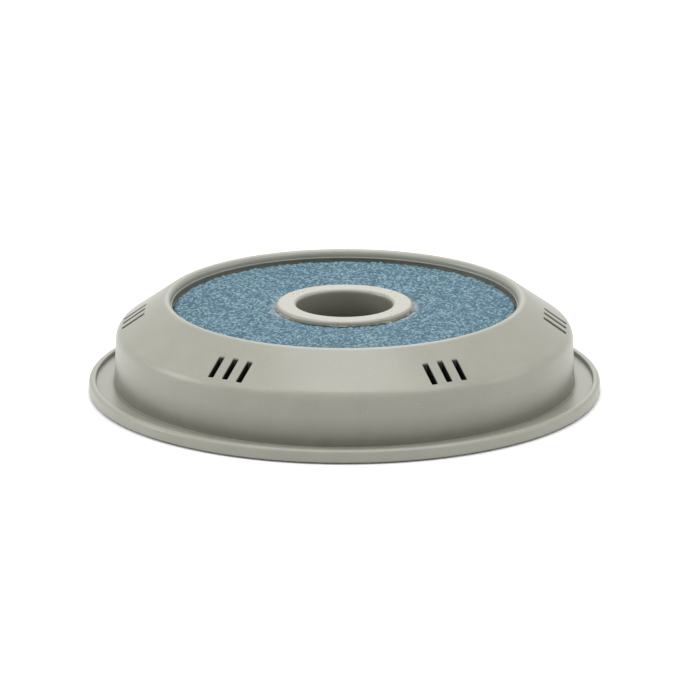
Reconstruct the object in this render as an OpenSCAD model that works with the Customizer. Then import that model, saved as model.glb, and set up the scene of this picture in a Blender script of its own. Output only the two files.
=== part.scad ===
// Weighted ring air stone for a pond: a moulded housing, an air chamber with a porous
// ring set in it, a centre sleeve, a ballasted base and a hose tail at the rear.
// Millimetres. Z is up, the origin is the centre of the base, and the hose leaves along +Y.

/* [Housing] */
// Radius of the foot flange
flange_r = 63.5; // [60:0.1:90]
// Thickness of the flange
flange_t = 2.35; // [1.6:0.05:4]
// Height of the raised lip round the flange
lip_h = 3.45; // [2.6:0.05:6]
// Width of the lip
lip_w = 1.7; // [1.2:0.1:3]
// Width of the flat between the skirt and the lip
flange_flat_w = 4.6; // [3:0.1:12]
// How far the skirt leans in over its height
skirt_draft = 0.5; // [0:0.1:2]
// Height of the shoulder where the skirt meets the slope
shoulder_z = 15.4; // [14.5:0.1:20]
// Radius that rounds the shoulder
shoulder_round = 3.3; // [1:0.1:5]
// Height of the rim, the top of the housing
rim_z = 23.8; // [22:0.1:32]
// Width of the rim between the slope and the mouth
rim_w = 2.1; // [1.5:0.1:4]
// Radius that rounds the rim's inner edge
rim_round = 1.2; // [0.4:0.1:2]
// Radius of the mouth that the stone shows through
mouth_r = 42.8; // [35:0.1:44]
// Wall of the housing
wall = 1.8; // [1.6:0.1:2.4]

/* [Slots] */
// Groups of slots round the slope
slot_groups = 6; // [3:1:6]
// Slots in each group
slots_per_group = 3; // [1:1:4]
// Width of a slot
slot_w = 1.65; // [1:0.05:2.4]
// Length of a slot, seen from above
slot_run = 5.6; // [4:0.1:7]
// Distance between the slots of a group
slot_pitch = 4.05; // [3:0.05:5]

/* [Stone and air chamber] */
// How far the stone lies below the rim
stone_drop = 2.4; // [1.8:0.1:4]
// Thickness of the stone
stone_t = 7.0; // [4:0.1:8]
// Height of the air space under the stone
plenum_h = 2.5; // [1.5:0.1:4]
// Wall of the air chamber round the centre sleeve
chamber_wall = 1.2; // [1:0.1:2]
// Gap between the stone and the mouth, sealed at its lower end
outer_gap = 0.3; // [0.2:0.05:0.6]
// How far the outer seal stays below the top of the stone
seal_drop = 2.0; // [1:0.1:3]
// Gap round the chamber's inner wall that the inner seal fills
inner_gap = 0.4; // [0.3:0.05:1]
// Posts under the stone in each ring
posts = 9; // [6:1:16]

/* [Centre sleeve] */
// Radius of the hole through the middle
bore_r = 12.0; // [8:0.1:14]
// Wall of the sleeve
sleeve_wall = 1.4; // [1.2:0.1:2.5]
// Thickness of the sleeve's collar
collar_h = 1.15; // [1:0.05:2]
// How far the collar lies over the stone
collar_lap = 1.8; // [1:0.1:4]

/* [Base] */
// How far the ribs under the base plate stop above the ground
base_lift = 0.4; // [0.2:0.1:1]
// Depth of the ribs under the base plate
rib_h = 1.2; // [0.8:0.1:2]
// Thickness of the base plate
plate_t = 2.0; // [1.5:0.1:3]
// Screws through the base plate
screws = 3; // [3:3:6]
// Radius of a screw's shank
screw_r = 1.6; // [1.2:0.1:2]
// Length of a screw under its head
screw_l = 10; // [8:0.5:12]

/* [Hose inlet] */
// Radius of the hose tail at its barbs
barb_r = 2.9; // [2.5:0.1:3.5]
// Barbs on the hose tail
barbs = 3; // [2:1:4]
// Distance between barbs
barb_pitch = 3.4; // [2.8:0.1:4]
// Radius of the air passage
air_r = 1.3; // [1:0.1:1.5]

/* [Hidden] */
$fn = 96;

fit = 0.15;          // clearance between moulded parts that slide together
through = 1;         // how far a cut runs past the face it opens
edge = 0.3;          // rounding of small moulded edges
fine_edge = 0.1;     // rounding of the bead and the relief in the mouth
root = 0.5;          // how far a rib or boss runs into the wall that it stands on

// Housing, from the foot upwards
skirt_r = flange_r - lip_w - flange_flat_w;
shoulder_r = skirt_r - skirt_draft;
rim_r = mouth_r + rim_w;
slope = atan2(rim_z - shoulder_z, shoulder_r - rim_r);
skirt_in_r = shoulder_r - wall;
toe_w = 0.9;                          // rebate under the flange's outer edge
toe_h = 0.4;
collar_r = mouth_r + 1.8;             // outside of the wall round the mouth
function slope_z(r) = shoulder_z + (shoulder_r - r) * tan(slope);
function under_slope_z(r) = slope_z(r) - wall / cos(slope);

// Heights inside, from the rim downwards
stone_z = rim_z - stone_drop;         // top of the stone
stone_base = stone_z - stone_t;
floor_top = stone_base - plenum_h;
floor_t = 1.8;
floor_base = floor_top - floor_t;
ledge_t = 1.5;                        // ledge that the mouth's wall seats on
collar_z = floor_top + 1.3;           // lower end of the mouth's wall
bead_w = 0.25;                        // bead round the foot of the mouth's open wall
bead_z = stone_z + 0.35;              // underside of the bead, just above the stone
bead_h = 0.35;
relief_r = mouth_r + 0.6;             // relief behind the stone's top edge
relief_z = stone_z - 1.3;             // lower end of the relief
rim_in_round = min(rim_round, rim_w - bead_w - 0.65);

// Slots, cut straight down, the outer end of each just in the skirt
slot_bite = 0.15;
slot_end = 0.3;                       // rounding of a slot's corners
slot_at = skirt_in_r + slot_bite - slot_run / 2;
slot_foot = under_slope_z(skirt_in_r) - 1;

// Radii inside, from the bore outwards
sleeve_r = bore_r + sleeve_wall;
hub_r = sleeve_r + fit;               // hole through the chamber and the base
hub_wall_r = hub_r + chamber_wall;
stone_in_r = hub_wall_r + inner_gap;
sleeve_collar_r = stone_in_r + collar_lap;
chamber_r = mouth_r - fit;
stone_r = mouth_r - outer_gap;
ledge_r = collar_r - 0.2;
shelf_w = 1.2;                        // how far the shelves reach under the stone's two edges
post_r = 1.4;                         // posts under the stone

// Base
plate_z = base_lift + rib_h;          // underside of the plate between its ribs
plate_top = plate_z + plate_t;
plate_r = skirt_in_r - fit;
rib_w = 1.2;
edge_rib_w = 1.2;                     // ribs round the plate's two edges
boss_r = 3.6;
boss_at = (collar_r + skirt_in_r) / 2;
head_r = 3.0;
head_h = 1.6;
head_z = base_lift + 0.2;             // underside of the screw heads
recess_l = 3.4;                       // cross recess in a screw's head
recess_w = 0.6;
recess_h = 1.0;
tip_l = 1.5;                          // a screw's point
tip_r = 0.3;
drain_w = 1.6;                        // drain slots in the plate
drain_l = 6;
gasket_t = 1.0;
nut_h = 3.2;
nut_r = sleeve_r + 5.6;               // to the sleeve nut's corners
ballast_in_r = nut_r + 1.5;
ballast_r = chamber_r - 1.6;
ballast_h = floor_base - plate_top - 1.0;
wall_fence_r = chamber_r + fit;       // inside of the fence that carries the chamber

// Inlet, from the chamber outwards along +Y
plug_r = 3.1;
port_r = plug_r + 0.08;               // running fit round the plug
port_boss_r = 4.3;
port_y = chamber_r - 11;              // blind end of the port
plug_y = port_y + 3.4;                // inner end of the fitting
port_mouth_y = ledge_r + 1;
shank_r = 3.4;
hex_r = 4.8;                          // to the flats of the fitting and its nut
hex_h = 2.8;
inlet_z = plate_top + hex_r + 0.1;    // height of the inlet, its nut just clear of the plate
pad_r = hex_r / cos(30) + 0.1;
spot_y = skirt_in_r + 0.05;           // flat cut inside the skirt for the nut
pad_out_y = skirt_r + 0.7;            // flat raised outside the skirt for the fitting
tail_y = pad_out_y + hex_h;           // where the hose tail starts
barb_start = 3.2;
land = 0.5;                           // straight part on each barb's crest
root_r = barb_r - 0.6;
tail_l = barb_start + barbs * barb_pitch + 0.4;
inlet_nut_h = 3.2;
groove_y = plug_y + 1.4;
ring_d = 1.0;                         // thickness of the O-ring
groove_r = port_r - ring_d;

HOUSING = [0.67, 0.67, 0.62];
STONE = [0.42, 0.56, 0.65];
RUBBER = [0.16, 0.16, 0.16];
CEMENT = [0.55, 0.54, 0.51];
STEEL = [0.72, 0.73, 0.74];
SEALANT = [0.80, 0.82, 0.80];

// Outline with each corner [x, y, radius] rounded by an arc of n steps.
function unit(v) = v / norm(v);
function turn(a, b) = let (t = b - a) t > 180 ? t - 360 : t < -180 ? t + 360 : t;
function corner_arc(a, p, b, r, n) =
    let (u = unit(a - p), v = unit(b - p),
         half = acos(max(-1, min(1, u * v))) / 2,
         centre = p + unit(u + v) * r / sin(half),
         from = p + u * r / tan(half) - centre,
         to = p + v * r / tan(half) - centre,
         start = atan2(from.y, from.x),
         sweep = turn(start, atan2(to.y, to.x)))
    [for (i = [0 : n]) centre + r * [cos(start + sweep * i / n), sin(start + sweep * i / n)]];
function rounded(c, n = 5) =
    [for (i = [0 : len(c) - 1])
        let (a = c[(i + len(c) - 1) % len(c)], p = c[i], b = c[(i + 1) % len(c)])
        each (p[2] == 0 ? [[p.x, p.y]]
                        : corner_arc([a.x, a.y], [p.x, p.y], [b.x, b.y], p[2], n))];

// A ring between two radii and two heights, its edges rounded.
module ring(r1, r2, z1, z2, e = 0) {
    rotate_extrude()
        polygon(rounded([[r1, z1, e], [r2, z1, e], [r2, z2, e], [r1, z2, e]]));
}

// Places its children n times round the axis, the first at angle start.
module around(n, start = 0) {
    for (i = [0 : n - 1]) rotate([0, 0, start + i * 360 / n]) children();
}

// A cylinder along +Y at the inlet's height.
module along_y(r, y1, y2, fn = 96) {
    translate([0, y1, inlet_z]) rotate([-90, 0, 0]) cylinder(r = r, h = y2 - y1, $fn = fn);
}

// The housing's section: foot, lip, flange, skirt, slope, rim, mouth and inside.
function housing_section() = rounded([
    [skirt_r - wall, 0, edge],
    [flange_r - toe_w, 0, fine_edge],
    [flange_r - toe_w, toe_h, fine_edge],
    [flange_r, toe_h, edge],
    [flange_r, lip_h, 0.9],
    [flange_r - lip_w, lip_h, 0.35],
    [flange_r - lip_w - 0.1, flange_t, 0.15],
    [skirt_r, flange_t, 0.25],
    [shoulder_r, shoulder_z, shoulder_round],
    [rim_r, rim_z, 2.0],
    [mouth_r + bead_w, rim_z, rim_in_round],
    [mouth_r + bead_w, bead_z + bead_h, 0],
    [mouth_r, bead_z + bead_h, fine_edge],
    [mouth_r, bead_z, fine_edge],
    [relief_r, bead_z, fine_edge],
    [relief_r, relief_z, fine_edge],
    [mouth_r, relief_z, fine_edge],
    [mouth_r, collar_z, edge],
    [collar_r, collar_z, edge],
    [collar_r, under_slope_z(collar_r), 0.8],
    [skirt_in_r, under_slope_z(skirt_in_r), 1.0]
], 6);

// The screw bosses end halfway through the slope and the skirt.
function boss_limit() = [
    [0, plate_top - through],
    [shoulder_r - wall / 2, plate_top - through],
    [shoulder_r - wall / 2, slope_z(shoulder_r) - wall],
    [rim_r, slope_z(rim_r) - wall / 2 / cos(slope)],
    [0, slope_z(rim_r) - wall / 2 / cos(slope)]];

// Cutter of one slot.
module slot_cut() {
    x = slot_w / 2;
    y = slot_run / 2;
    outline = rounded([[-x, -y, slot_end], [x, -y, slot_end],
                       [x, y, slot_end], [-x, y, slot_end]], 3);
    translate([0, -slot_at, slot_foot])
        linear_extrude(height = rim_z - slot_foot + through) polygon(outline);
}

module housing() {
    color(HOUSING)
    difference() {
        union() {
            rotate_extrude() polygon(housing_section());
            intersection() {
                around(screws)
                    translate([0, -boss_at, plate_top]) cylinder(r = boss_r, h = rim_z);
                rotate_extrude() polygon(boss_limit());
            }
            along_y(pad_r, spot_y, pad_out_y);
        }
        around(screws)
            translate([0, -boss_at, plate_top - through])
                cylinder(r = screw_r, h = screw_l + through);
        along_y(pad_r, spot_y - inlet_nut_h, spot_y);
        along_y(shank_r + 0.1, spot_y - through, pad_out_y + through);
        around(slot_groups, 180 / slot_groups)
            for (i = [0 : slots_per_group - 1])
                translate([(i - (slots_per_group - 1) / 2) * slot_pitch, 0, 0]) slot_cut();
    }
}

module diffuser_stone() {
    color(STONE) ring(stone_in_r, stone_r, stone_base, stone_z, 0.4);
}

module air_chamber() {
    color(HOUSING)
    difference() {
        union() {
            rotate_extrude() polygon([
                [hub_r, floor_base], [chamber_r, floor_base], [chamber_r, collar_z - ledge_t],
                [ledge_r, collar_z - ledge_t], [ledge_r, collar_z], [chamber_r, collar_z],
                [chamber_r, stone_base], [stone_r - shelf_w, stone_base],
                [stone_r - shelf_w, floor_top], [hub_wall_r + shelf_w, floor_top],
                [hub_wall_r + shelf_w, stone_base], [hub_wall_r, stone_base],
                [hub_wall_r, stone_z - 0.2], [hub_r, stone_z - 0.2]]);
            for (r = [1 / 3, 2 / 3])
                around(posts, 180 / posts)
                    translate([0, stone_in_r + (stone_r - stone_in_r) * r, floor_top - 0.2])
                        cylinder(r = post_r, h = plenum_h + 0.2);
            along_y(port_boss_r, port_y - 1.5, port_mouth_y);
            translate([-port_boss_r, port_y - 1.5, inlet_z])
                cube([2 * port_boss_r, chamber_r - 0.5 - port_y, floor_top - 0.2 - inlet_z]);
        }
        along_y(port_r, plug_y - 0.2, port_mouth_y + through);
        along_y(air_r + 0.4, port_y, plug_y);
        translate([0, port_y + 1.9, inlet_z]) cylinder(r = air_r + 0.2, h = stone_base - inlet_z);
    }
}

module outer_seal() {
    color(SEALANT) ring(stone_r, mouth_r, stone_base, stone_z - seal_drop);
}

module inner_seal() {
    color(SEALANT) ring(hub_wall_r, stone_in_r, stone_base, stone_z - 0.5);
}

module centre_sleeve() {
    color(HOUSING)
    rotate_extrude() polygon(rounded([
        [bore_r, 0, 0], [sleeve_r, 0, edge], [sleeve_r, stone_z, 0],
        [sleeve_collar_r, stone_z, 0.15], [sleeve_collar_r, stone_z + collar_h, 0.75],
        [bore_r, stone_z + collar_h, 0.8]], 6));
}

module sleeve_nut() {
    color(HOUSING)
    translate([0, 0, floor_base - gasket_t - nut_h])
        difference() {
            cylinder(r = nut_r, h = nut_h, $fn = 6);
            translate([0, 0, -through]) cylinder(r = sleeve_r, h = nut_h + 2 * through);
        }
}

module sleeve_gasket() {
    color(RUBBER) ring(sleeve_r, nut_r * cos(30) - 0.5, floor_base - gasket_t, floor_base);
}

module ballast_ring() {
    color(CEMENT)
    difference() {
        ring(ballast_in_r, ballast_r, plate_top, plate_top + ballast_h, 0.8);
        translate([-port_boss_r - 1, port_y - 2.5, plate_top - through])
            cube([2 * port_boss_r + 2, 20, ballast_h + 2 * through]);
    }
}

// Plan of the openings in the fence: one for the port, and water ways between them.
module fence() {
    difference() {
        ring(wall_fence_r, ledge_r, plate_top - root, collar_z - ledge_t);
        around(6)
            translate([-port_boss_r - 1, wall_fence_r - 3, plate_top + 0.6])
                cube([2 * port_boss_r + 2, 8, collar_z]);
        translate([-port_boss_r - 1, wall_fence_r - 3, plate_top])
            cube([2 * port_boss_r + 2, 8, collar_z]);
    }
}

module base_plate() {
    color(HOUSING)
    difference() {
        union() {
            ring(hub_r, plate_r, plate_z, plate_top);
            ring(hub_r, hub_r + edge_rib_w, base_lift, plate_z + root);
            ring(plate_r - edge_rib_w, plate_r, base_lift, plate_z + root);
            around(12, 15)
                translate([-rib_w / 2, -plate_r + edge_rib_w / 2, base_lift])
                    cube([rib_w, plate_r - hub_r - edge_rib_w, rib_h + root]);
            around(screws)
                translate([0, -boss_at, base_lift]) cylinder(r = boss_r + 1.2, h = rib_h + root);
            ring(ballast_in_r - 1.2, ballast_in_r - fit, plate_top - root, plate_top + 2);
            fence();
        }
        around(screws) {
            translate([0, -boss_at, base_lift - through])
                cylinder(r = head_r + 0.3, h = through + head_z - base_lift + head_h);
            translate([0, -boss_at, base_lift]) cylinder(r = screw_r + 0.2, h = plate_top);
        }
        // drain slots between the ribs
        around(6, 30)
            translate([-drain_w / 2, -(ballast_r + plate_r + drain_l) / 2, 0])
                cube([drain_w, drain_l, plate_top + through]);
    }
}

// Pan-head screws with a cross recess, driven up into the housing's bosses.
module base_screws() {
    color(STEEL)
    around(screws)
        translate([0, -boss_at, head_z])
            difference() {
                rotate_extrude() polygon(rounded([
                    [0, 0, 0], [head_r, 0, 0.7], [head_r, head_h, 0],
                    [screw_r, head_h, 0], [screw_r, head_h + screw_l - tip_l, 0],
                    [tip_r, head_h + screw_l, 0], [0, head_h + screw_l, 0]]));
                for (a = [0, 90])
                    rotate([0, 0, a])
                        translate([-recess_l / 2, -recess_w / 2, -through])
                            cube([recess_l, recess_w, recess_h + through]);
            }
}

// The hose tail: barbed end, hexagon, threaded shank, and a plug with a ring groove.
function tail_section() = concat(
    [[air_r, plug_y], [plug_r - 0.3, plug_y], [plug_r, plug_y + 0.5],
     [plug_r, groove_y], [groove_r, groove_y], [groove_r, groove_y + ring_d + 0.3],
     [plug_r, groove_y + ring_d + 0.3], [plug_r, port_mouth_y + 1],
     [shank_r, port_mouth_y + 1.6], [shank_r, pad_out_y], [hex_r - 0.4, pad_out_y],
     [hex_r - 0.4, tail_y], [root_r, tail_y]],
    [for (i = [0 : barbs - 1])
        let (y = tail_y + barb_start + i * barb_pitch)
        each [[root_r, y], [barb_r, y], [barb_r, y + land], [root_r, y + barb_pitch]]],
    [[root_r, tail_y + tail_l - 0.3], [root_r - 0.3, tail_y + tail_l],
     [air_r, tail_y + tail_l]]);

module inlet_fitting() {
    color(HOUSING)
    union() {
        translate([0, 0, inlet_z]) rotate([-90, 0, 0])
            rotate_extrude() polygon(tail_section());
        difference() {
            along_y(hex_r / cos(30), pad_out_y, tail_y, 6);
            along_y(hex_r - 1, pad_out_y - through, tail_y + through);
        }
    }
}

module inlet_nut() {
    color(HOUSING)
    difference() {
        along_y(hex_r / cos(30), spot_y - inlet_nut_h, spot_y, 6);
        along_y(shank_r, spot_y - inlet_nut_h - through, spot_y + through);
    }
}

module inlet_o_ring() {
    color(RUBBER)
    translate([0, groove_y + ring_d / 2 + 0.15, inlet_z]) rotate([-90, 0, 0])
        rotate_extrude() translate([groove_r + ring_d / 2, 0]) circle(d = ring_d, $fn = 32);
}

housing();
diffuser_stone();
air_chamber();
outer_seal();
inner_seal();
centre_sleeve();
sleeve_nut();
sleeve_gasket();
ballast_ring();
base_plate();
base_screws();
inlet_fitting();
inlet_nut();
inlet_o_ring();
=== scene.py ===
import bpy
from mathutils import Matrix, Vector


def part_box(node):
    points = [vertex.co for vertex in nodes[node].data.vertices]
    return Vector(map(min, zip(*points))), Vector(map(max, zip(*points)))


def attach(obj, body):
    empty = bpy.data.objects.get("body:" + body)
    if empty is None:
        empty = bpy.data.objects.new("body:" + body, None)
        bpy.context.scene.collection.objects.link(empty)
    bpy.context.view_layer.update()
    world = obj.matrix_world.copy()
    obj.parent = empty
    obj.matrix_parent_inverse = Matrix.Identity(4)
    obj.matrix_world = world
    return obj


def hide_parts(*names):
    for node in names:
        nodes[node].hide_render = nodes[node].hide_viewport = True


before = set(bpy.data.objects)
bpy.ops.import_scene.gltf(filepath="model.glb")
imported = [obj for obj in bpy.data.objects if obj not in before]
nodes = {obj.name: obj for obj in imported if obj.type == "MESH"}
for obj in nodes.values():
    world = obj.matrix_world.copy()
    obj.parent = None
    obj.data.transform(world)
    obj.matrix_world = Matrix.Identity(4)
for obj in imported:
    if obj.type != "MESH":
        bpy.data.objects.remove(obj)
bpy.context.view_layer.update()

import math

import bpy
from mathutils import Vector, noise


# ---------------------------------------------------------------------------------------
# Housing: the grey cover, injection moulded in ABS in one piece with its foot, skirt,
# slotted slope and rim, semi-matt outside. Painted shade darkens its inside and the corner
# at the skirt's foot. Sizes in this file are in metres, unless a name ends in mm.
# ---------------------------------------------------------------------------------------

class Wire:
    """A socket in a finish's node tree. Sums and products of wires add their Math nodes."""

    def __init__(self, tree, socket):
        self.tree = tree
        self.socket = socket

    def node(self, kind, settings=None, inputs=None, out=0):
        """Adds a node with its settings and inputs made, and gives one output as a wire."""
        made = self.tree.nodes.new(kind)
        for name, value in (settings or {}).items():
            if name == "stops":
                made.color_ramp.elements.remove(made.color_ramp.elements[1])
                made.color_ramp.elements[0].position = value[0][0]
                made.color_ramp.elements[0].color = value[0][1]
                for place, colour in value[1:]:
                    made.color_ramp.elements.new(place).color = colour
            else:
                setattr(made, name, value)
        for name, value in (inputs or {}).items():
            if isinstance(value, Wire):
                self.tree.links.new(value.socket, made.inputs[name])
            else:
                made.inputs[name].default_value = value
        return Wire(self.tree, made.outputs[out])

    def maths(self, operation, other, first=False):
        """Works on this wire and another wire or number, which may come first."""
        values = [other, self] if first else [self, other]
        return self.node("ShaderNodeMath", {"operation": operation}, dict(enumerate(values)))

    def __add__(self, other):
        return self.maths("ADD", other)

    def __radd__(self, other):
        return self.maths("ADD", other, first=True)

    def __sub__(self, other):
        return self.maths("SUBTRACT", other)

    def __rsub__(self, other):
        return self.maths("SUBTRACT", other, first=True)

    def __mul__(self, other):
        return self.maths("MULTIPLY", other)

    def __rmul__(self, other):
        return self.maths("MULTIPLY", other, first=True)

    def __pow__(self, other):
        return self.maths("POWER", other)

    def axis(self, number):
        """One of the three coordinates of the place that the wire carries."""
        return self.node("ShaderNodeSeparateXYZ", {}, {"Vector": self}, out=number)

    def between(self, low, high):
        """0 where the wire is below low, 1 where it is above high, smooth between."""
        limits = {"Value": self, "From Min": low, "From Max": high}
        return self.node("ShaderNodeMapRange", {"interpolation_type": "SMOOTHSTEP"}, limits)

    def speckle(self, size_mm, detail=2.0, roughness=0.5):
        """Noise over the place that the wire carries, from 0 to 1, in lumps of this size."""
        inputs = {"Vector": self, "Scale": 1000 / size_mm, "Detail": detail,
                  "Roughness": roughness}
        return self.node("ShaderNodeTexNoise", {"noise_dimensions": "3D"}, inputs)

    def tint(self, from_colour, to_colour):
        """The colour between two, wires or constants, at the share that the wire carries."""
        inputs = {0: self, 6: from_colour, 7: to_colour}
        return self.node("ShaderNodeMix", {"data_type": "RGBA"}, inputs, out=2)


class Finish:
    """A material on one Principled shader, and the place on the piece to pattern it by."""

    def __init__(self, name):
        self.material = bpy.data.materials.new(name)
        self.material.use_nodes = True
        tree = self.material.node_tree
        self.shader = tree.nodes["Principled BSDF"]
        self.tree = tree
        self.place = Wire(tree, tree.nodes.new("ShaderNodeTexCoord").outputs["Object"])
        self.height = self.place.axis(2)
        x, y = self.place.axis(0), self.place.axis(1)
        self.radius = (x * x + y * y) ** 0.5

    def wear(self, **inputs):
        """Sets the shader's sockets, to constants or wires. Underscores stand for spaces."""
        for name, value in inputs.items():
            socket = self.shader.inputs[name.replace("_", " ")]
            if isinstance(value, Wire):
                self.tree.links.new(value.socket, socket)
            else:
                socket.default_value = value

    def relief(self, height, depth_mm, strength=1.0):
        """The normal of a surface with this height over it, in parts of the depth."""
        inputs = {"Height": height, "Distance": depth_mm / 1000, "Strength": strength}
        return self.place.node("ShaderNodeBump", {}, inputs)

    def dress(self, piece):
        """Puts the finish on a piece, and smooths the piece's shading."""
        piece.data.materials.clear()
        piece.data.materials.append(self.material)
        piece.data.shade_smooth()


def moulded_plastic(name, light, dark, gloss, painted_shade=None):
    """Plastic as it leaves the mould: a cloudy tone, fine grain and a few pale specks.

    A painted_shade function takes the finish and gives a share and a colour of painted shade to
    lay over the tone.
    """
    plastic = Finish(name)
    cloud = plastic.place.speckle(9.0, 3.0, 0.55)
    fleck = plastic.place.speckle(0.55, 2.0, 0.6)
    specks = plastic.place.speckle(0.8, 1.0, 0.4).between(0.72, 0.78)
    tone = cloud.between(0.3, 0.7) * 0.65 + fleck.between(0.3, 0.7) * 0.35
    pale = [min(1.0, channel * 1.25) for channel in light[:3]] + [1.0]
    colour = (specks * 0.5).tint(tone.tint(dark, light), pale)
    if painted_shade:
        # Each share lays a colour of painted shade over the plastic's tone.
        for share, shade_colour in painted_shade(plastic):
            colour = share.tint(colour, shade_colour)
    grain = plastic.place.speckle(0.32, 2.0, 0.55)
    ripple = plastic.place.speckle(5.0, 1.0, 0.4)
    plastic.wear(
        Base_Color=colour,
        Roughness=gloss - 0.05 + 0.1 * cloud + 0.06 * fleck,
        Normal=plastic.relief(grain * 0.75 + ripple * 0.25, 0.035, 0.6),
        IOR=1.55,
    )
    return plastic


slope_foot_r, slope_foot_z = 0.0567, 0.0154
slope_head_r, slope_head_z = 0.0449, 0.0238
slope_fall = (slope_head_z - slope_foot_z) / (slope_foot_r - slope_head_r)
mouth_wall_r = 0.0434
plain_band = 0.0025
flange_top = 0.00235
foot_shade_height = 0.0085


def housing_painted_shade(plastic):
    """Painted shade: the dark inside of the cover, and darkening low on the skirt in the corner
    of the foot.
    """
    depth = slope_foot_z + (slope_foot_r - plastic.radius) * slope_fall - plastic.height
    past_wall = plastic.radius.between(mouth_wall_r - 0.0001, mouth_wall_r + 0.0002)
    past_rim = plastic.radius.between(slope_head_r + plain_band,
                                      slope_head_r + plain_band + 0.0005)
    within_skirt = 1 - plastic.radius.between(slope_foot_r - 0.0014, slope_foot_r - 0.0008)
    inside = within_skirt * (past_wall * depth.between(0.0012, 0.0018)).maths(
        "MAXIMUM", past_rim * depth.between(0.0002, 0.0006))
    on_skirt = (plastic.radius.between(slope_foot_r - 0.0006, slope_foot_r - 0.0002)
                * (1 - plastic.radius.between(slope_foot_r + 0.0008, slope_foot_r + 0.0014)))
    low = 1 - plastic.height.between(flange_top + 0.0008, flange_top + foot_shade_height)
    patchy = 0.75 + 0.5 * plastic.place.speckle(4.0, 3.0, 0.6)
    # Painted shade: patchy darkening low on the skirt, and near-black over the cover's inside.
    return [(low * on_skirt * patchy * 0.42, (0.05, 0.05, 0.036, 1)),
            (inside, (0.012, 0.012, 0.010, 1))]


housing_grey = moulded_plastic("housing_abs", (0.252, 0.252, 0.210, 1), (0.228, 0.229, 0.190, 1),
                               0.31, housing_painted_shade)
housing_grey.dress(nodes["housing"])


# ---------------------------------------------------------------------------------------
# Air chamber: the moulded tray that holds the stone over its air space, in the same
# plastic as the housing. It sits wholly inside; its darker tone is painted shade, and it is left
# unpolished.
# ---------------------------------------------------------------------------------------

# The housing's plastic darkened: painted shade for a part that sits inside.
shaded_chamber_grey = moulded_plastic("chamber_abs", (0.090, 0.090, 0.074, 1), (0.070, 0.070, 0.058, 1),
                               0.45)
shaded_chamber_grey.dress(nodes["air_chamber"])


# ---------------------------------------------------------------------------------------
# Sealant: two beads run in wet, round the stone's edge in the mouth and round the
# chamber's hub. They cure milky and slightly rubbery, and keep the air in the stone.
# ---------------------------------------------------------------------------------------

sealant = Finish("sealant")
sealant_lumps = sealant.place.speckle(1.2, 2.0)
sealant.wear(
    Base_Color=sealant_lumps.tint((0.16, 0.17, 0.17, 1), (0.30, 0.31, 0.29, 1)),
    Roughness=0.35 + 0.2 * sealant_lumps,
    Normal=sealant.relief(sealant_lumps, 0.2),
)
for name in ("outer_seal", "inner_seal"):
    sealant.dress(nodes[name])


# ---------------------------------------------------------------------------------------
# Diffuser stone: a ring of blue mineral grain about half a millimetre across, bonded with
# resin and baked in a mould. Its open face is the broken, sparkling surface of the grain
# itself, chipped here and there along the outer edge; the palest grain colour is a painted glint.
# ---------------------------------------------------------------------------------------

stone_low, stone_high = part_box("diffuser_stone")
stone_r = stone_high.x
stone_in_r = 0.01515
grain_size = 0.00050
grain_relief = 0.00030
ring_step = 0.000215
point_step = 0.00023
side_step = 0.0006
stone_gap = 0.00004
edge_round = 0.0004
side_grain_depth = 0.003
chip_reach = 0.0011
chip_depth = 0.0007
chip_spacing = 0.0016


def grain_at(place):
    """Height of the grain's surface, from 0 to 1, and the tone of the grain at a place."""
    distances, centres = noise.voronoi(place / grain_size)
    dome = 1 - min(1.0, distances[0] / 0.75) ** 2
    edge = min(1.0, (distances[1] - distances[0]) / 0.35)
    own = noise.cell(centres[0] * 7.31)
    tone = noise.cell(centres[0] * 3.17 + Vector((11, 5, 2)))
    return dome * 0.45 * edge + own * 0.55, tone


def chip_at(place, radius):
    """How deep the stone's outer edge is chipped away at a place."""
    nearness = max(0.0, 1 - (stone_r - radius) / chip_reach)
    return chip_depth * nearness * max(0.0, noise.noise(place / chip_spacing) + 0.25)


def zip_rings(first, first_count, second, second_count):
    """Triangles between two rings of points, given where each starts in the mesh."""
    faces = []
    i = j = 0
    while i < first_count or j < second_count:
        step_first = j == second_count or (
            i < first_count and (i + 1) * second_count <= (j + 1) * first_count)
        a = first + i % first_count
        b = second + j % second_count
        if step_first:
            faces.append((a, first + (i + 1) % first_count, b))
            i += 1
        else:
            faces.append((a, second + (j + 1) % second_count, b))
            j += 1
    return faces


def stone_rows():
    """Radius, height and share of open grain of each ring of points, from the inner foot."""
    top, foot = stone_high.z, stone_low.z
    inner, outer = stone_in_r + stone_gap, stone_r - stone_gap
    rows = [(inner, foot, 0.0), (inner, top - side_grain_depth, 0.3)]
    start, end = stone_in_r + edge_round, stone_r - edge_round
    count = round((end - start) / ring_step)
    rows += [(start + (end - start) * k / count, top, 1.0) for k in range(count + 1)]
    rows += [(outer, top - edge_round, 0.8), (outer, top - side_grain_depth, 0.3),
             (outer, foot, 0.0)]
    return rows


def stone_mesh():
    """The whole ring, from its inner foot up over the open face and down the outside."""
    points, tones, faces, rings = [], [], [], []
    for radius, z, open_share in stone_rows():
        step = point_step if open_share == 1 else side_step
        count = round(2 * math.pi * radius / step)
        rings.append((len(points), count))
        for i in range(count):
            turn = 2 * math.pi * i / count
            place = Vector((radius * math.cos(turn), radius * math.sin(turn), z))
            height, tone = grain_at(place)
            sink = (1 - height) * grain_relief * open_share + chip_at(place, radius) * open_share
            points.append((place.x, place.y, z - sink))
            tones.append(tone)
    for (a, count_a), (b, count_b) in zip(rings, rings[1:] + rings[:1]):
        faces += zip_rings(a, count_a, b, count_b)
    mesh = bpy.data.meshes.new("diffuser_grain")
    mesh.from_pydata(points, [], faces)
    shade = mesh.attributes.new("grain_tone", "FLOAT", "POINT")
    shade.data.foreach_set("value", tones)
    mesh.update()
    return mesh


stone = bpy.data.objects.new("diffuser_grain", stone_mesh())
bpy.context.scene.collection.objects.link(stone)

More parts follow.
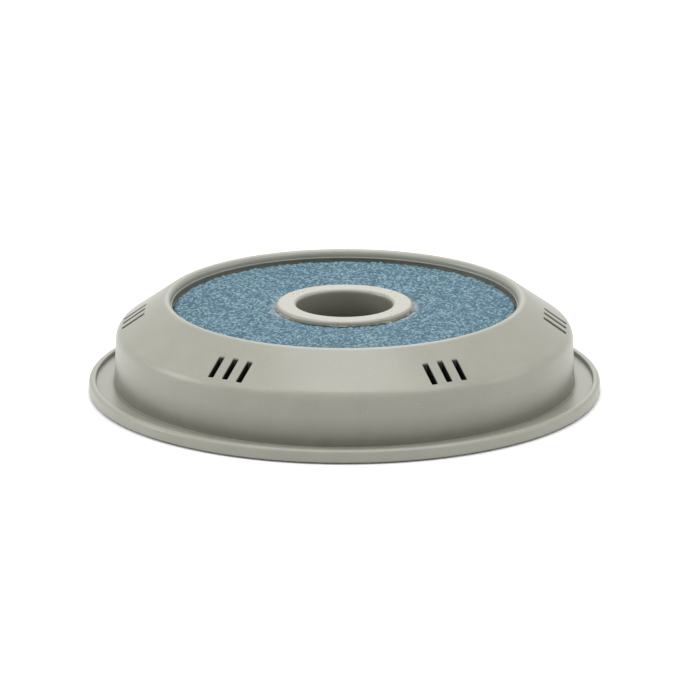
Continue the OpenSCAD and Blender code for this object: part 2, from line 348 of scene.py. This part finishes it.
blue_grain = Finish("bonded_blue_grain")
tone = blue_grain.place.node("ShaderNodeAttribute", {"attribute_name": "grain_tone"}, out=2)
fine = blue_grain.place.speckle(0.3, 2.0, 0.6)
drift = blue_grain.place.speckle(7.0, 3.0, 0.5)
mixed = tone * 0.55 + fine * 0.3 + drift * 0.16
grain_colour = mixed.node("ShaderNodeValToRGB", {"stops": [
    (0.12, (0.044, 0.100, 0.135, 1)),
    (0.50, (0.097, 0.188, 0.237, 1)),
    (0.80, (0.155, 0.262, 0.314, 1)),
    # The last stop is a painted glint on a few grains.
    (0.93, (0.350, 0.465, 0.500, 1))]}, {"Fac": mixed})

# The resin film that the sealant leaves on the stone beside the collar, on both sides.
collar_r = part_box("centre_sleeve")[1].x
sideways = (blue_grain.place.axis(0) * blue_grain.place.axis(0)) ** 0.5
film = ((1 - blue_grain.radius.between(collar_r + 0.0003, collar_r + 0.0026))
        * sideways.between(collar_r * 0.55, collar_r * 1.0)
        * blue_grain.place.speckle(1.1, 3.0, 0.6).between(0.30, 0.62))
blue_grain.wear(
    Base_Color=(film * 0.55).tint(grain_colour, (0.40, 0.42, 0.42, 1)),
    Roughness=0.72 - 0.3 * tone,
    Normal=blue_grain.relief(fine, 0.12, 0.8),
)
blue_grain.dress(stone)
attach(stone, "root")
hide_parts("diffuser_stone")


# ---------------------------------------------------------------------------------------
# Centre sleeve: the flanged tube that lines the hole and clamps the stone, a shade lighter
# than the housing, with painted shade inside. Its ring nut and rubber washer sit under the
# chamber.
# ---------------------------------------------------------------------------------------

bore_r = 0.012
sleeve_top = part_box("centre_sleeve")[1].z


def sleeve_painted_shade(plastic):
    """Painted shade in the tube's inside, darker the further it is from the mouth."""
    in_bore = 1 - plastic.radius.between(bore_r + 0.0001, bore_r + 0.0005)
    depth = sleeve_top - plastic.height
    # Two layers of painted shade down the bore.
    return [(in_bore * depth.between(0.0002, 0.0016) * 0.45, (0.05, 0.049, 0.038, 1)),
            (in_bore * depth.between(0.001, 0.0095) * 0.75, (0.035, 0.034, 0.026, 1))]


sleeve_grey = moulded_plastic("sleeve_abs", (0.285, 0.280, 0.235, 1), (0.258, 0.253, 0.211, 1),
                              0.26, sleeve_painted_shade)
sleeve_grey.dress(nodes["centre_sleeve"])
housing_grey.dress(nodes["sleeve_nut"])

rubber = Finish("seal_rubber")
bloom = rubber.place.speckle(1.5, 3.0)
rubber.wear(Base_Color=bloom.tint((0.02, 0.02, 0.02, 1), (0.05, 0.05, 0.048, 1)),
            Roughness=0.5 + 0.2 * bloom, Normal=rubber.relief(bloom, 0.05))
rubber.dress(nodes["sleeve_gasket"])


# ---------------------------------------------------------------------------------------
# Squeeze-out: the thin uneven line of sealant pressed out from under the collar when the
# sleeve is drawn down, yellowed and rough where it has run into the stone's grain.
# ---------------------------------------------------------------------------------------

bead_thickness = 0.00022
bead_swell = 0.00012
bead_bite = 0.00004


def squeeze_out_mesh():
    """A lumpy ring round the collar's foot, low where it sinks into the grain."""
    around, section = 420, 8
    points, faces = [], []
    for i in range(around):
        turn = 2 * math.pi * i / around
        outward = Vector((math.cos(turn), math.sin(turn), 0))
        swell = noise.noise(outward * 5.3) + 0.5 * noise.noise(outward * 23.0)
        thick = bead_thickness + bead_swell * swell
        centre = outward * (collar_r + bead_bite) + Vector((0, 0, stone_high.z - bead_bite))
        for k in range(section):
            lean = 2 * math.pi * k / section
            spoke = outward * math.cos(lean) + Vector((0, 0, math.sin(lean)))
            points.append(centre + spoke * thick)
            a, b = i * section + k, i * section + (k + 1) % section
            c = (i + 1) % around * section
            faces.append((a, c + k, c + (k + 1) % section, b))
    mesh = bpy.data.meshes.new("sealant_squeeze_out")
    mesh.from_pydata(points, [], faces)
    mesh.update()
    return mesh


squeeze_out = bpy.data.objects.new("sealant_squeeze_out", squeeze_out_mesh())
bpy.context.scene.collection.objects.link(squeeze_out)
yellowed = Finish("yellowed_sealant")
patches = yellowed.place.speckle(2.6, 3.0, 0.6)
yellowed.wear(
    Base_Color=patches.between(0.42, 0.62).tint((0.100, 0.105, 0.058, 1), (0.30, 0.30, 0.25, 1)),
    Roughness=0.4 + 0.3 * patches,
    Normal=yellowed.relief(yellowed.place.speckle(0.4, 2.0), 0.1),
)
yellowed.dress(squeeze_out)
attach(squeeze_out, "root")


# ---------------------------------------------------------------------------------------
# Ballast: a ring of sharp sand and cement, cast in a mould and dropped over the locating
# ring of the base plate. It keeps the part on the bed of the pond.
# ---------------------------------------------------------------------------------------

cement = Finish("ballast_cement")
sand = cement.place.speckle(0.7, 4.0, 0.6)
cement.wear(Base_Color=sand.tint((0.11, 0.105, 0.095, 1), (0.24, 0.235, 0.22, 1)), Roughness=0.9,
            Normal=cement.relief(sand, 0.2))
cement.dress(nodes["ballast_ring"])


# ---------------------------------------------------------------------------------------
# Base plate: the ribbed cover that closes the underside, and the three stainless screws
# that draw it up to the housing's bosses.
# ---------------------------------------------------------------------------------------

plate_grey = moulded_plastic("plate_abs", (0.255, 0.255, 0.210, 1), (0.225, 0.226, 0.185, 1),
                             0.36)
plate_grey.dress(nodes["base_plate"])

steel = Finish("screw_steel")
brushed = steel.place.speckle(0.25, 2.0)
steel.wear(Base_Color=brushed.tint((0.50, 0.49, 0.47, 1), (0.62, 0.61, 0.59, 1)),
           Metallic=1.0, Roughness=0.26 + 0.16 * brushed, Normal=steel.relief(brushed, 0.01))
steel.dress(nodes["base_screws"])


# ---------------------------------------------------------------------------------------
# Hose inlet: a moulded nylon fitting with barbs for a soft airline. It goes through the
# skirt at the rear, a nut holds it from inside, and an O-ring seals it in the chamber.
# ---------------------------------------------------------------------------------------

fitting_grey = moulded_plastic("fitting_nylon", (0.225, 0.225, 0.190, 1),
                               (0.198, 0.198, 0.167, 1), 0.28)
for name in ("inlet_fitting", "inlet_nut"):
    fitting_grey.dress(nodes[name])
rubber.dress(nodes["inlet_o_ring"])


# ---------------------------------------------------------------------------------------
# The setting: a pale floor, a soft white surround and lamps like those of a light tent,
# bright enough that the floor is nearly burnt out and gleams in the plastic.
# ---------------------------------------------------------------------------------------

floor_mesh = bpy.data.meshes.new("floor")
reach = 3.0
floor_drop = 0.00003
floor_mesh.from_pydata([(-reach, -reach, 0), (reach, -reach, 0), (reach, reach, 0),
                        (-reach, reach, 0)], [], [(0, 1, 2, 3)])
floor = bpy.data.objects.new("floor", floor_mesh)
floor.location.z = -floor_drop
bpy.context.scene.collection.objects.link(floor)
paper = Finish("floor_paper")
fibres = paper.place.speckle(30.0, 2.0)
paper.wear(Base_Color=fibres.tint((0.80, 0.80, 0.80, 1), (0.82, 0.82, 0.82, 1)), Roughness=0.9)
floor.data.materials.append(paper.material)


lamp_distance = 1.2


def softbox(name, azimuth, elevation, width, power):
    """A round area lamp facing the object, placed by the compass from the object's front."""
    lamp = bpy.data.lights.new(name, "AREA")
    lamp.shape = "DISK"
    lamp.size = width
    lamp.energy = power
    stand = bpy.data.objects.new(name, lamp)
    bpy.context.scene.collection.objects.link(stand)
    around, over = math.radians(azimuth), math.radians(elevation)
    outward = Vector((math.sin(around) * math.cos(over), -math.cos(around) * math.cos(over),
                      math.sin(over)))
    stand.location = outward * lamp_distance
    stand.rotation_euler = (-outward).to_track_quat("-Z", "Y").to_euler()


softbox("overhead", 0, 90, 0.8, 4.6)
softbox("back_high", 180, 55, 0.6, 3.6)
softbox("left_front", 300, 55, 0.6, 2.2)
softbox("right_front", 60, 55, 0.6, 2.7)
softbox("back_low", 180, 22, 0.55, 0.6)
softbox("left_low", 270, 22, 0.55, 3.4)
softbox("right_low", 90, 22, 0.55, 1.4)

surround = bpy.data.worlds.new("surround")
surround.use_nodes = True
white_tent = surround.node_tree.nodes["Background"]
white_tent.inputs["Color"].default_value = (1, 1, 1, 1)
white_tent.inputs["Strength"].default_value = 0.85
bpy.context.scene.world = surround

camera_data = bpy.data.cameras.new("camera")
camera_data.sensor_width = 36
camera = bpy.data.objects.new("camera", camera_data)
bpy.context.scene.collection.objects.link(camera)
turn = math.radians(2.15)
rise = math.radians(16.4)
distance = 2.5
field_of_view = 0.1741
back = Vector((math.sin(turn) * math.cos(rise), -math.cos(turn) * math.cos(rise), math.sin(rise)))
right = Vector((math.cos(turn), math.sin(turn), 0))
up = back.cross(right)
target = right * 0.00137 + up * 0.01113
camera.location = target + back * distance
camera.rotation_euler = (-back).to_track_quat("-Z", "Y").to_euler()
camera_data.lens = camera_data.sensor_width * distance / field_of_view
camera_data.clip_end = 20
bpy.context.scene.camera = camera

bpy.context.scene.view_settings.view_transform = "Standard"
